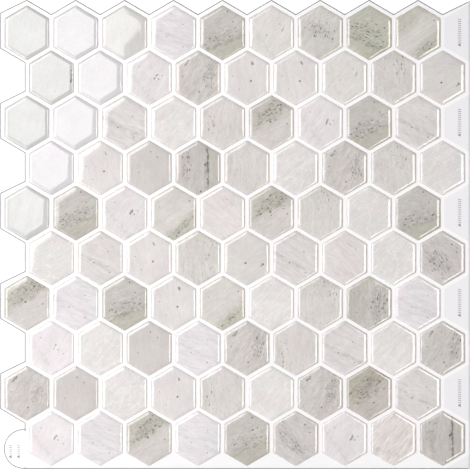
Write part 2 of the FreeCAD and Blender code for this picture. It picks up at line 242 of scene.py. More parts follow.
# %% The printed pictures
PLAIN = {
    "tone": "#E7E3E2",
    "streak": (52, 0.8, -0.9),  # angle, strength, dark hair lines or, less than 0, pale crackle
    "patch": (120, 30, 0),  # direction it fades in from, distance, strength, less than 0 for both sides
    "pores": (0, 0, 0, 1, 1, 0),  # middle, angle, half length, half width, amount
    "vein": (0, 0, 0),  # angle, distance, strength
    "crack": (0, 0, 0, 1, 0.2, 0),  # middle, angle, half length, half width, strength
    "dots": (),  # middle and radius of up to three single holes
}
PICTURES = {
    "plain": {},
    "sage flecked": {
        "tone": "#CDCCCB", "streak": (75, 0.4, 0), "crack": (13.2, 1, 90, 4.6, 0.28, 0.9),
        "dots": ((13.3, 4.8, 0.5), (8, 11.5, 0.3), (2.5, -9, 0.3)),
    },
    "plain sage": {"tone": "#CDCCCB", "streak": (75, 0.4, 0)},
    "plain lilac": {"tone": "#D8D5D8", "streak": (40, 0.2, 0)},
    "plain cool": {"tone": "#E4E0DF", "streak": (35, 0.7, -1.1)},
    "faint": {
        "tone": "#E7E2E5", "streak": (160, 1.1, 0),
        "dots": ((-4.4, -2.6, 0.4), (6.1, -9.2, 0.45), (6.2, 5.2, 0.35)), "vein": (-25, -2.5, 0.15),
    },
    "soft dots": {
        "tone": "#E0DADA", "streak": (150, 1.2, 0),
        "dots": ((-4.2, -2.9, 0.5), (6.2, -9.3, 0.45), (5.2, 4.1, 0.4)), "vein": (-27, -3.5, 0.3),
        "patch": (95, 12, 0.35),
    },
    "two dots": {
        "tone": "#E4DEDE", "streak": (100, 0.6, 0), "crack": (3.6, 9.4, 112, 1.3, 0.35, 0.8),
        "dots": ((2.6, -2.2, 0.75), (-4.8, -7.5, 0.35), (-9, 1, 0.35)),
    },
    "side dots": {
        "tone": "#DED9D7", "streak": (25, 0.6, 0.3),
        "dots": ((-0.9, -3.2, 0.8), (10.3, -4, 0.85), (9.2, -5.2, 0.5)),
    },
    "dash": {
        "tone": "#E8E2E3", "streak": (58, 0.8, 0.3), "crack": (4.4, 0.6, 62, 2.2, 0.35, 0.75),
        "vein": (-52, -7.5, 0.16), "dots": ((6.3, -0.9, 0.5), (-6.5, 7, 0.35), (8.6, 1.5, 0.4)),
    },
    "dash rosy": {
        "tone": "#EFE8EB", "streak": (58, 0.6, 0.3), "crack": (2.6, 0.9, 62, 2, 0.35, 0.6),
        "vein": (-52, -7.5, 0.16), "dots": ((4.6, -0.9, 0.45), (-6.5, 7, 0.35), (8, -3.5, 0.35)),
    },
    "scratched": {
        "tone": "#E3DFDC", "streak": (56, 0.8, 0.3), "crack": (7.5, 3, 64, 2.6, 0.28, 0.5),
        "vein": (-55, -8, 0.14), "dots": ((-3, -1.5, 0.4), (5.5, 5.5, 0.4)),
    },
    "rosy slant": {"tone": "#E5DDDB", "streak": (48, 2, 0.3), "vein": (-18, -9.5, 0.2)},
    "rosy streaks": {"tone": "#E6DFDE", "streak": (140, 0.8, 0.5), "crack": (4, 8, 140, 5, 0.2, 0.3)},
    "mid": {
        "tone": "#D4CECC", "streak": (88, 0.5, 0.2),
        "dots": ((1, 10.5, 0.5), (5.5, 7, 0.5), (-7, -3, 0.35)),
    },
    "upright": {
        "tone": "#DCD7D4", "streak": (92, 0.9, 1.1), "patch": (95, 10, 0.35),
        "pores": (4, 8, 92, 9, 7, 0.22),
    },
    "upright pale": {
        "tone": "#DDD7D5", "streak": (88, 0.8, 0.9), "patch": (180, 9, 0.3),
        "pores": (-8, -2, 88, 11, 3, 0.3),
    },
    "upright sage": {"tone": "#D6D3D1", "streak": (92, 0.4, 0.2)},
    "dashes": {
        "tone": "#D5D1CC", "streak": (58, 1, 0.6), "pores": (-0.6, 1.4, 68, 6.5, 9, 0.75),
        "patch": (-60, 10, 0.3),
    },
    "mossy": {
        "tone": "#D8D2CF", "streak": (33, 0.9, 0.6), "patch": (123, -0.6, 0.85),
        "pores": (0.8, 7.2, 33, 14, 6, 0.95), "dots": ((-0.7, 0.8, 0.8), (10.3, -0.5, 0.5)),
    },
    "mossy band": {
        "tone": "#D9D5D0", "streak": (38, 1, 0.2), "patch": (-48, 4.5, -0.8),
        "pores": (4.6, -10.4, 45, 10, 2.6, 1), "dots": ((10.3, 7.8, 0.5), (-9, 4, 0.35)),
    },
    "veined": {
        "tone": "#CAC5C0", "streak": (24, 1.1, 0.9), "patch": (-66, 5.5, 0.65),
        "pores": (-1, -3, 28, 15, 5.5, 0.55), "vein": (22, -6.6, 0.5),
        "dots": ((3.3, 13.6, 0.55), (6.8, 7, 0.5), (-8.1, -4, 0.6)),
    },
    "slanted": {
        "tone": "#D2CCC9", "streak": (58, 1.4, 1), "pores": (7.4, 1.5, 78, 11, 4.2, 0.75),
        "crack": (-7.8, 9, 45, 2.2, 0.4, 0.6),
        "dots": ((0.8, -9.1, 0.6), (-6.5, 11, 0.5), (-10, 1, 0.4)),
    },
    "cracked": {
        "tone": "#CAC4C1", "streak": (86, 1.1, 0.8), "pores": (-7.5, 0, 88, 12, 3.5, 0.5),
        "crack": (6.4, 0.5, 91, 13, 0.45, 0.75), "vein": (90, -5.6, 0.5), "patch": (0, 5, 0.3),
        "dots": ((4.7, 2.1, 0.9), (5.9, 3.1, 0.8), (1.9, -15.2, 0.7)),
    },
    "grey green": {
        "tone": "#C5C4B8", "streak": (24, 1, 0.8), "pores": (-2, -1, 158, 16, 9, 0.55),
        "vein": (-22, -7.4, 0.55), "patch": (-70, 9, 0.6),
        "dots": ((-7.6, 5.7, 0.6), (9.8, 3, 0.6), (-3.4, -5.2, 0.6)),
    },
    "dark moss": {
        "tone": "#C8C0BB", "streak": (35, 1.3, 1), "patch": (125, 0.5, 0.9),
        "pores": (-1, 4, 35, 14, 8, 0.95),
        "dots": ((3, -6, 0.6), (-6, -3, 0.5), (9.5, 3, 0.5)),
    },
    "upright pores": {
        "tone": "#CDC8C3", "streak": (84, 1.5, 1.1), "pores": (5.5, -1, 84, 14, 5.5, 0.8),
        "patch": (150, 4, 0.5), "dots": ((-7, 8, 0.4), (-8, -6, 0.4)),
    },
    "mottled": {
        "tone": "#D3CDCC", "streak": (140, 1.2, 1), "pores": (-3, -2, 130, 14, 6, 0.7),
        "dots": ((6, 9, 0.6), (9, 4, 0.5)),
    },
}
PICTURES["mossy seam"] = {
    **PICTURES["mossy band"], "tone": "#DBD6D1", "streak": (38, 0.9, 0.2), "patch": (-48, 6, 0.85)
}
print(len(PICTURES), "printed pictures")

# %% [markdown]
# ## The plan of the sheet
# Each line below is a row of nine tiles, top row first. Every second row sits half a tile to the right.

# %% Which picture lies where
PLAN = """
plain sage | plain lilac | upright sage | faint | veined | scratched | dashes | grey green | mossy band
sage flecked | plain lilac | dash | slanted | two dots | two dots | scratched | upright | side dots
plain sage | plain lilac | soft dots | plain | upright pale | mossy | dash | veined | soft dots
plain lilac | two dots | mid | cracked | upright pale | plain cool | slanted | upright | plain cool
plain sage | veined | dash | mossy seam | rosy streaks | mossy | upright | plain cool | veined
plain cool | soft dots | two dots | upright | side dots | soft dots | rosy streaks | plain | mottled
mossy | faint | veined | two dots | mossy seam | plain | upright | upright pores | faint
dash rosy | plain | mid | faint | slanted | upright pale | soft dots | plain | slanted
slanted | mid | plain | two dots | upright pale | plain | slanted | dark moss | soft dots
dash rosy | faint | mossy | faint | veined | mottled | dash | rosy slant | cracked
"""
plan_rows = [[name.strip() for name in line.split("|")] for line in PLAN.strip().splitlines()]
assert all(len(row) == TILES_PER_ROW for row in plan_rows) and len(plan_rows) == len(ROW_NODES)
print("The plan lays", len({name for row in plan_rows for name in row}), "pictures")

# %% [markdown]
# ## From plan to points
# Geometry Nodes places a tile on every point of a small mesh. Whatever the print needs to know about a tile
# travels as an attribute of its point: tone, streaks, pores and so on. The material reads it again later.
# Two tiles of one picture still differ in their grain, because each point also carries a random shift.

# %% One point for each tile
DOT_COUNT = 3
NO_DOT = (99.0, 99.0, 0.1)  # far outside the tile
SHIFT_RANGE = 90  # mm


def print_values(name, centre, shift):
    """The attributes of one tile, in the units that the material reads."""
    picture = {**PLAIN, **PICTURES[name]}
    pore_x, pore_y, pore_angle, *pore_spread = picture["pores"]
    crack_x, crack_y, crack_angle, *crack_size = picture["crack"]
    values = {
        "tile_centre": centre / MM,
        "print_shift": shift,
        "stone_tone": linear(picture["tone"])[:3],
        "pore_place": (pore_x, pore_y, math.radians(pore_angle)),
        "pore_spread": pore_spread,
        "crack_place": (crack_x, crack_y, math.radians(crack_angle)),
        "crack_size": crack_size,
    }
    for part in ("streak", "patch", "vein"):
        angle, *others = picture[part]
        values[part] = (math.radians(angle), *others)
    for number in range(DOT_COUNT):
        known = number < len(picture["dots"])
        values[f"dot_{number + 1}"] = picture["dots"][number] if known else NO_DOT
    return values


def loose_points(name, places, values=()):
    """A mesh of loose points. Each point's values, a dictionary, become vector attributes."""
    mesh = bpy.data.meshes.new(name)
    mesh.from_pydata(places, [], [])
    for key in values[0] if values else ():
        attribute = mesh.attributes.new(key, "FLOAT_VECTOR", "POINT")
        attribute.data.foreach_set("vector", [number for given in values for number in given[key]])
    return put_in_scene(name, mesh)


print_source = random.Random(12)
point_rows = []
for node, names in zip(ROW_NODES, plan_rows):
    centres = row_centres(node)
    shifts = [[print_source.uniform(0, SHIFT_RANGE) for _ in range(3)] for _ in names]
    values = [print_values(*tile) for tile in zip(names, centres, shifts)]
    point_rows.append(loose_points(f"{node}_points", centres, values))
print(sum(len(thing.data.vertices) for thing in point_rows), "points carry the print")

# %% [markdown]
# ## The gel and its print as one material
# The real tile is clear polyurethane gel, poured over ink. Light goes through the gel, meets the ink and
# comes back, and a small part is mirrored by the gel's smooth top. A plain glossy plastic over a coloured
# base does the same thing, renders clean and also survives the export. Its index of refraction is 1.5.
# The print is drawn in the tile's own millimetres, so it stays on its tile wherever the tile is. A pattern
# is easier to read as a sum than as a list of nodes. So a number in the tree is wrapped in a small class,
# and Python's own signs then add the node that adds, multiplies or divides.

# %% Sums made of nodes
class Number:
    """A number that a node tree works out."""

    kind = "ShaderNodeMath"

    def __init__(self, socket):
        self.socket = socket
        self.tree = socket.id_data

    def step(self, operation, *others):
        """The number after one more step of arithmetic."""
        node = add_node(self.tree, self.kind, enumerate((self, *others)), operation=operation)
        return type(self)(node.outputs[0])

    __add__ = partialmethod(step, "ADD")
    __sub__ = partialmethod(step, "SUBTRACT")
    __mul__ = partialmethod(step, "MULTIPLY")
    __truediv__ = partialmethod(step, "DIVIDE")
    __pow__ = partialmethod(step, "POWER")
    __abs__ = partialmethod(step, "ABSOLUTE")
    at_least = partialmethod(step, "MAXIMUM")  # the larger of the two
    at_most = partialmethod(step, "MINIMUM")  # the smaller of the two

    def __rsub__(self, other):
        return self * -1.0 + other

    def fade(self, start, end, bottom=0.0, top=1.0):
        """A soft step: bottom before start, top past end, where end may be the smaller one."""
        inputs = {"Value": self, "From Min": start, "From Max": end, "To Min": bottom, "To Max": top}
        node = add_node(self.tree, "ShaderNodeMapRange", inputs, interpolation_type="SMOOTHSTEP")
        return Number(node.outputs[0])


class Triple(Number):
    """Three numbers at once: a place, or a colour."""

    kind = "ShaderNodeVectorMath"

    def parts(self):
        """The three, each by itself."""
        return [Number(part) for part in add_node(self.tree, "ShaderNodeSeparateXYZ", {0: self}).outputs]


def new_material(name):
    """A material, with its tree and its main shader."""
    material = bpy.data.materials.new(name)
    material.use_nodes = True
    return material, material.node_tree, material.node_tree.nodes["Principled BSDF"]


def surface_place(tree):
    """Where a point of the surface lies, in millimetres."""
    here = Triple(add_node(tree, "ShaderNodeTexCoord").outputs["Object"])
    return here * (1 / MM, 1 / MM, 1 / MM)


def carried(tree, name, output="Vector"):
    """What the piece carries as an attribute."""
    socket = add_node(tree, "ShaderNodeAttribute", attribute_name=name).outputs[output]
    return Number(socket) if output == "Fac" else Triple(socket)


print("Signs that add a node: + - * / ** and abs")

# %% [markdown]
# ## Drawing the stone
# Streaks are noise that is stretched along one direction, and crackle is the pale border between cells.
# Pores come from cells about a millimetre wide: a random few get a dark speck, and only inside the picture's
# cluster, where short curved fissures join them. Dots, cracks and veins are drawn by their distance from a
# point or a line.

# %% A point of the print
def clouds(place, size, detail=2.0, roughness=0.5):
    """Clouds with blobs of about size millimetres, from 0 to 1."""
    inputs = {"Vector": place, "Scale": 1 / size, "Detail": detail, "Roughness": roughness}
    return Number(add_node(place.tree, "ShaderNodeTexNoise", inputs).outputs["Fac"])


class TilePoint:
    """Where a point of the print lies on its tile, in millimetres from the middle."""

    def __init__(self, tree):
        self.tree = tree
        self.shift = carried(tree, "print_shift")
        place = (surface_place(tree) - carried(tree, "tile_centre")) * (1, 1, 0)
        self.x, self.y, _ = place.parts()
        self.stone = place + self.shift  # the place in the stone, another one for each tile

    def value(self, name):
        """The three numbers of one part of the tile's picture."""
        return carried(self.tree, name).parts()

    def cloud(self, *settings):
        """Clouds in the stone."""
        return clouds(self.stone, *settings)

    def flat(self, x, y):
        """A place in the print, moved by the tile's shift."""
        return Triple(add_node(self.tree, "ShaderNodeCombineXYZ", {"X": x, "Y": y}).outputs[0]) + self.shift


def turned(x, y, angle):
    """How far a place lies along and across a direction."""
    cosine, sine = angle.step("COSINE"), angle.step("SINE")
    return x * cosine + y * sine, y * cosine - x * sine


def bands(point, along, across, width, length, detail):
    """Bands of that width and length in the stone, from -0.5 to 0.5."""
    return clouds(point.flat(along / length, across / (width * 2)), 1.0, detail, 0.6) - 0.5


print("Ways to draw: clouds and bands")

# %% [markdown]
# ## Streaks and crackle
# Sediment settled in layers, so the stone is streaked in one direction, and each picture was cut at another
# angle. Wide soft bands, fine hair lines and a little grain together make the streaks.

# %% Streaks
STREAK_WIDTH = 1.5  # mm across one soft band
STREAK_LENGTH = 16.0  # mm along it
FINE_WIDTH = 0.6  # mm across a hair line, drawn coarser than the real 0.2 mm so that it shows
GRAIN_SIZE = 0.9  # mm from one speckle of the stone to the next
BEND_SIZE = 13  # mm from one bend of the streaks to the next
BEND = 3.5  # mm that a streak bends
SOFT, FINE, GRAIN, HAIR, PALE = 0.27, 0.34, 0.22, 0.11, 0.13  # how much each adds to light and dark
CRACKLE_CELL = 6.0  # mm across one field of the pale crackle
CRACKLE_PULL = 7  # mm that the fields are pulled out of shape
PULL_SIZE = 5  # mm from one pull to the next


def crackle(point):
    """Pale hair lines that cross each other as in old glaze, 1 on a line."""
    inputs = {"Vector": point.stone, "Scale": 1 / PULL_SIZE, "Detail": 2.0}
    pull = Triple(add_node(point.tree, "ShaderNodeTexNoise", inputs).outputs["Color"])
    bent = pull * (CRACKLE_PULL, CRACKLE_PULL, 0) + point.stone
    inputs = {"Vector": bent, "Scale": 1 / CRACKLE_CELL}
    settings = {"voronoi_dimensions": "2D", "feature": "DISTANCE_TO_EDGE"}
    border = add_node(point.tree, "ShaderNodeTexVoronoi", inputs, **settings).outputs["Distance"]
    return Number(border).fade(0.09, 0.0) * point.cloud(4).fade(0.4, 0.62)


def streaks(point):
    """Soft bands, hair lines and grain along the picture's streak angle, about 0 on average."""
    angle, strength, lines = point.value("streak")
    along, across = turned(point.x, point.y, angle)
    across = across + (point.cloud(BEND_SIZE) - 0.5) * BEND
    soft = bands(point, along, across, STREAK_WIDTH, STREAK_LENGTH, 3.0) * SOFT
    fine = bands(point, along, across, FINE_WIDTH, STREAK_LENGTH * 0.3, 2.0) * FINE
    ridge = abs(bands(point, along, across, STREAK_WIDTH, STREAK_LENGTH * 0.35, 1.0))
    dark = ridge.fade(0.035, 0.0) * lines.at_least(0.0) * HAIR
    pale = crackle(point) * lines.at_most(0.0) * PALE
    grain = (point.cloud(GRAIN_SIZE, 3.0) - 0.5) * GRAIN
    return (soft + fine) * strength - dark - pale + grain


print("Streaks are", STREAK_WIDTH, "mm wide, crackle fields", CRACKLE_CELL, "mm")

# %% [markdown]
# ## Pores and single holes
# Travertine is full of small holes, which the picture shows as specks that follow the streaks. In each cell a
# random number decides whether there is a speck, a second one how large it is and a third how dark.

# %% Pores and dots
PORE_CELL = 1.0  # mm from one possible pore to the next
SMALL_CELL = PORE_CELL * 0.62
PORE_STRETCH = 0.36  # makes a pore longer along the streak than across it
PORE_SCATTER = 0.95  # 0 would set the pores in neat rows, 1 scatters them fully
FISSURE_WIDTH = 0.8  # mm between the short curved fissures among the pores
FISSURE_LENGTH = 3.0  # mm along one


def pore_layer(point, along, across, inside, size, share):
    """Dark specks in a share of the cells."""
    place = point.flat(along * PORE_STRETCH, across)
    inputs = {"Vector": place, "Scale": 1 / size, "Randomness": PORE_SCATTER}
    found = add_node(point.tree, "ShaderNodeTexVoronoi", inputs, voronoi_dimensions="2D").outputs
    chance, reach, dark = Triple(found["Color"]).parts()
    chosen = (inside * share).step("GREATER_THAN", chance)
    edge = Number(found["Distance"]) - (reach * 0.26 + 0.14)
    speck = edge.fade(0.12, -0.08).at_least(edge.fade(0.5, 0.0, 0.0, 0.2))
    return speck * chosen * (dark * 0.55 + 0.45)


def pores(point):
    """Pores large and small in a long cluster, 0 where there is none."""
    x, y, angle = point.value("pore_place")
    length, width, amount = point.value("pore_spread")
    along, across = turned(point.x - x, point.y - y, angle)
    reach = ((along / length) ** 2.0 + (across / width) ** 2.0) ** 0.5
    ragged = point.cloud(4) * 1.4 - 0.7
    inside = (reach + ragged).fade(1.25, 0.3) * amount
    large = pore_layer(point, along, across, inside, PORE_CELL, 0.45)
    small = pore_layer(point, along, across, inside, SMALL_CELL, 0.6) * 0.6
    ridge = abs(bands(point, along, across, FISSURE_WIDTH, FISSURE_LENGTH, 3.0))
    fissure = ridge.fade(0.06, 0.0) * inside.fade(0.15, 0.7, 0.0, 0.42)
    return large.at_least(small).at_least(fissure)


def dots(point):
    """Up to three single holes, darkest in the middle."""
    holes = []
    for number in range(DOT_COUNT):
        x, y, radius = point.value(f"dot_{number + 1}")
        away = ((point.x - x) ** 2.0 + (point.y - y) ** 2.0) ** 0.5
        holes.append((away / radius).fade(1.3, 0.3))
    return reduce(Number.at_least, holes)


print("Large pores lie", PORE_CELL, "mm apart, small ones", SMALL_CELL, "mm")

# %% [markdown]
# ## Cracks, veins and moss
# A crack is a thin line that wanders, swells and ends. A vein is wider, paler and runs right across. The
# mossy green fades in from one side of the tile, or from both with a clean band between.

# %% Cracks, veins and moss
WOBBLE = 1.6  # mm that cracks and veins wander
MOSS_WOBBLE = 9.0  # mm that the border of the moss wanders


def crack_and_vein(point):
    """The crack's and the vein's darkness."""
    wander = (point.cloud(6) - 0.5) * WOBBLE
    jagged = (point.cloud(1.8, 3.0) - 0.5) * (WOBBLE * 1.4)
    x, y, angle = point.value("crack_place")
    length, width, strength = point.value("crack_size")
    along, across = turned(point.x - x, point.y - y, angle)
    swelling = point.cloud(2.6).fade(0.35, 0.65, 0.35, 1.8)
    core = (abs(across + wander + jagged) / (width * swelling)).fade(1.8, 0.3)
    crack = core * (abs(along) / length).fade(1.1, 0.75) * strength
    angle, distance, strength = point.value("vein")
    _, across = turned(point.x, point.y, angle)
    body = abs(wander * 1.5 + across - distance).fade(2.4, 0.2)
    return crack, body * point.cloud(2.5, 3.0).fade(0.35, 0.65) * strength


def mossy_patch(point):
    """How green the stone is."""
    angle, distance, strength = point.value("patch")
    along, _ = turned(point.x, point.y, angle)
    one_side = strength.step("GREATER_THAN", 0.0) * 99.0
    side = along.at_least(along * -1.0 - one_side)
    ragged = (point.cloud(5, 4.0, 0.65) - 0.5) * MOSS_WOBBLE
    amount = abs(strength) * point.cloud(1.8, 3.0).fade(0.3, 0.7, 0.65, 1.3)
    return (side + ragged - distance).fade(-1.5, 4.0) * amount


print("The print's parts are defined")

# %% [markdown]
# ## Putting the print together
# The parts are laid over the stone's tone one by one: first the light and dark of the streaks, then the
# mossy green, then everything that is nearly black. The last touch is painted shade for the gel: light that
# enters near the rim is bent away, so the print is painted darker along a thin line just inside the edge.

# %% The stone print under clear gel
MOSS = "#A3A186"
HOLE = "#464334"
VEIN_TONE = "#8F9078"
WARM, COOL = "#FFFDFD", "#FEFFFD"
MOSS_COVER, HOLE_COVER = 0.42, 0.88  # how much of the stone each hides where it is strongest
RIM_SHADE = 0.95  # how bright the print stays in the painted shade line at the rim
RIM_SHADE_DEPTH = 0.62  # mm inside the rim where that line ends
GEL_ROUGHNESS = 0.035
GEL_IOR = 1.5


def lay_over(amount, under, ink):
    """Lay an ink or a stain over a colour."""
    node = add_node(amount.tree, "ShaderNodeMix", {0: amount, 6: under, 7: ink}, data_type="RGBA")
    return Triple(node.outputs[2])


def make_gel_material():
    """Poured polyurethane gel: a mirror-smooth clear drop over matt ink."""
    material, tree, shader = new_material("poured_gel_over_stone_print")
    point = TilePoint(tree)
    light = (streaks(point) + 1.0) * point.cloud(16).fade(0.3, 0.7, 0.97, 1.03)
    tint = lay_over(point.cloud(11, 1.0).fade(0.42, 0.62), linear(COOL), linear(WARM))
    colour = carried(tree, "stone_tone") * light * tint
    colour = lay_over(mossy_patch(point) * MOSS_COVER, colour, linear(MOSS))
    crack, vein = crack_and_vein(point)
    colour = lay_over(vein, colour, linear(VEIN_TONE))
    specks = pores(point).at_least(dots(point)).at_least(crack)
    colour = lay_over(specks * HOLE_COVER, colour, linear(HOLE))
    # painted shade: the print darkens towards the rim, where the gel bends light away
    rim = carried(tree, "rim_depth", "Fac").fade(0.1, RIM_SHADE_DEPTH, RIM_SHADE)
    fill(shader, {"Base Color": colour * rim, "Roughness": GEL_ROUGHNESS, "IOR": GEL_IOR})
    return material


gel_material = make_gel_material()
print("The gel's material has", len(gel_material.node_tree.nodes), "nodes")

# %% [markdown]
# ## Laying the rows
# Real gel never sets perfectly flat: its top swells and dips by a hundredth of a millimetre or two, which
# shows where a lamp is mirrored. A small node tree lays a tile on each point, gives its top that swell from
# noise, and sets the material. Its sizes are inputs, so the same tree serves all ten rows.

# %% The tree that lays a row
SWELL_LENGTH = 17.0 * MM
SWELL_HEIGHT = 0.02 * MM
SWELL_START, SWELL_FULL = 1.5, 6.0  # mm inside the rim, so that the shoulder stays as it is


def start_tree(name, inputs):
    """A Geometry Nodes tree with named inputs, and the sockets that hand them over."""
    tree = bpy.data.node_groups.new(name, "GeometryNodeTree")
    for label, kind in inputs.items():
        tree.interface.new_socket(label, in_out="INPUT", socket_type=f"NodeSocket{kind}")
    tree.interface.new_socket("Made", in_out="OUTPUT", socket_type="NodeSocketGeometry")
    return tree, add_node(tree, "NodeGroupInput").outputs


def make_row_tree():
    """Geometry Nodes: a tile on each point, with a gentle swell of its top."""
    sizes = {"Swell Length": "Float", "Swell Height": "Float", "Seed": "Float"}
    inputs = {"Points": "Geometry", "Tile": "Object", **sizes, "Material": "Material"}
    tree, given = start_tree("lay_gel_tiles", inputs)
    tile = add_node(tree, "GeometryNodeObjectInfo", {"Object": given["Tile"]}).outputs["Geometry"]
    laid = add_node(tree, "GeometryNodeInstanceOnPoints", {"Points": given["Points"], "Instance": tile})
    real = add_node(tree, "GeometryNodeRealizeInstances", {0: laid.outputs[0]})
    depth = add_node(tree, "GeometryNodeInputNamedAttribute", {"Name": "rim_depth"}, data_type="FLOAT")
    onset = Number(depth.outputs["Attribute"]).fade(SWELL_START, SWELL_FULL)
    scale = Number(given["Swell Length"]) ** -1.0
    waves = {"W": given["Seed"], "Scale": scale, "Detail": 1.0}
    swell = Number(add_node(tree, "ShaderNodeTexNoise", waves, noise_dimensions="4D").outputs["Fac"])
    drop = swell * -1.0 * given["Swell Height"] * onset
    offset = add_node(tree, "ShaderNodeCombineXYZ", {"Z": drop}).outputs[0]
    moved = add_node(tree, "GeometryNodeSetPosition", {"Geometry": real.outputs[0], "Offset": offset})
    shaded = add_node(tree, "GeometryNodeSetShadeSmooth", {0: moved.outputs[0]})
    inked = add_node(tree, "GeometryNodeSetMaterial", {0: shaded.outputs[0], "Material": given["Material"]})
    add_node(tree, "NodeGroupOutput", {0: inked.outputs[0]})
    return tree


def run_tree(thing, tree, values, name):
    """Run a node tree on an object and keep what comes out as a plain mesh object."""
    modifier = thing.modifiers.new("made", "NODES")
    modifier.node_group = tree
    for item in tree.interface.items_tree:
        if item.in_out == "INPUT" and item.name in values:
            modifier[item.identifier] = values[item.name]
    bpy.context.view_layer.update()
    graph = bpy.context.evaluated_depsgraph_get()
    finished = thing.evaluated_get(graph)
    mesh = bpy.data.meshes.new_from_object(finished, preserve_all_data_layers=True, depsgraph=graph)
    thing.modifiers.remove(modifier)
    mesh.name = name
    bpy.data.objects.remove(thing)
    return put_in_scene(name, mesh)


row_tree = make_row_tree()
row_values = {
    "Tile": gel_dome,
    "Swell Length": SWELL_LENGTH,
    "Swell Height": SWELL_HEIGHT,
    "Material": gel_material,
}
for seed, (node, points) in enumerate(zip(ROW_NODES, point_rows), start=1):
    name = node.replace("tile_row", "gel_row")
    row = run_tree(points, row_tree, {**row_values, "Seed": float(seed)}, name)
    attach(row, "root")
    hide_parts(node)
bpy.data.objects.remove(gel_dome)
print("Each row has", len(row.data.polygons), "faces")

# %% [markdown]
# ## Film and liner
# The sheet is die cut, and a thin grey line is painted all round it: painted shadow, where shade falls at
# the cut edge. The outline is already right in the imported model, so a merged copy of it is taken, its top
# faces are inset by the line's width, and the outermost edge is rounded off. An attribute tells the material
# how near a point is to the cut.

# %% Sheets with a cut edge
CUT_LINE = 0.75 * MM
FILM_ROUNDING = 0.12 * MM
LINER_ROUNDING = 0.05 * MM
SAME_HEIGHT = 0.01 * MM
SAME_POINT = 0.001 * MM


def dressed_sheet(node, name, rounding):
    """A copy of a sheet's node with a soft cut edge and an attribute that marks it."""
    mesh = bpy.data.meshes.new(name)
    shape = bmesh.new()
    shape.from_mesh(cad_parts[node].data)
    bmesh.ops.remove_doubles(shape, verts=shape.verts, dist=SAME_POINT)
    bmesh.ops.dissolve_limit(shape, angle_limit=math.radians(1), verts=shape.verts, edges=shape.edges)
    layer = shape.verts.layers.float.new("cut_edge")
    shape.normal_update()
    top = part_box(node)[1].z - SAME_HEIGHT
    tops = [face for face in shape.faces if face.normal.z > 0.9 and face.calc_center_median().z > top]
    bmesh.ops.inset_region(shape, faces=tops, thickness=CUT_LINE, use_even_offset=True)
    inner = {vertex for face in tops for vertex in face.verts}
    for vertex in shape.verts:
        vertex[layer] = 0.0 if vertex in inner else 1.0
    rims = [edge for edge in shape.edges if all(v.co.z > top and v not in inner for v in edge.verts)]
    bmesh.ops.bevel(shape, geom=rims, offset=rounding, segments=2, profile=0.5, affect="EDGES")
    shape.to_mesh(mesh)
    shape.free()
    made = put_in_scene(name, mesh)
    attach(made, "root")
    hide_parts(node)
    return made


film = dressed_sheet("vinyl_film", "printed_film", FILM_ROUNDING)
liner = dressed_sheet("release_liner", "liner_with_tab", LINER_ROUNDING)
print("Film:", len(film.data.polygons), "faces, liner:", len(liner.data.polygons), "faces")

# %% [markdown]
# ## White film
# The film is soft PVC, printed white and slightly satin, with the fine leathery emboss that the rollers
# leave. At the right edge the next sheet laps over, and its half cells stay unprinted, a touch greyer than
# the print. A cell's outline repeats with every second row, so the material folds the height into one cell
# and asks how far a point lies inside it.

# %% The film's material
FILM_SHADE = "#EEEDED"
CELL_GREY = "#E6E4E8"
# painted shadow: the grey of the line along the cut edge
CUT_SHADOW_GREY = "#69696B"
EMBOSS_GRAIN = 0.6  # mm between the emboss's bumps, drawn coarser than the real 0.2 mm
EMBOSS_DEPTH = 0.02 * MM
FILM_IOR = 1.52
PRINT_BORDER = 2.3 * MM
TAB_REACH = 30  # mm from the left edge that may belong to the tab
TAB_BOTTOM, TAB_TOP = 0.9, 24.6  # mm above the lower edge
RIGHT_SHADOW_SHOWN = 0.4  # share of the painted edge shadow that shows along the straight right edge


def edge_shadow_left_out(x, y):
    """How much of the painted edge shadow is left out: 1 where the film ends beside the tab, less along the
    straight right edge.
    """
    left, bottom = CAD_BOX[0].x / MM, CAD_BOX[0].y / MM
    beside_tab = (left + TAB_REACH - x).at_most(y - (bottom + TAB_BOTTOM)).at_most(bottom + TAB_TOP - y)
    from_right = x - (CAD_BOX[1].x - CUT_LINE * 1.5) / MM
    return beside_tab.fade(0.0, 0.3).at_least(from_right.fade(0.0, 0.2, 0.0, 1 - RIGHT_SHADOW_SHOWN))


def blank_cell_mask(x, y):
    """1 in the unprinted half cells of the overlap strip, 0 elsewhere."""
    last_flush, last_shifted = FLUSH_ROW[-1], SHIFTED_ROW[-1]
    from_print = x - (last_flush.x + TILE_WIDTH / 2 + PRINT_BORDER) / MM
    height = (y - last_flush.y / MM).step("PINGPONG", ROW_PITCH / MM)
    reach = (ROW_PITCH - TILE_HEIGHT / 2 - PRINT_BORDER * FLANK_STRETCH) / MM
    from_flank = (x - last_shifted.x / MM) * FLANK_SLOPE + reach - height
    return from_print.at_most(from_flank / FLANK_STRETCH).fade(-0.3, 0.5)


def cut_surface_with_painted_shadow(shader, colour, roughness, hidden=0.0):
    """Painted shadow grey, and matt, towards the cut edge."""
    edge = carried(shader.id_data, "cut_edge", "Fac")
    # painted shadow: the cut edge is greyed where shade falls at the sheet's outline
    grey = lay_over((edge * (1.0 - hidden)).fade(0.15, 0.5), colour, linear(CUT_SHADOW_GREY))
    fill(shader, {"Base Color": grey, "Roughness": roughness.at_least(edge.fade(0.0, 0.3, 0.3, 1.0))})


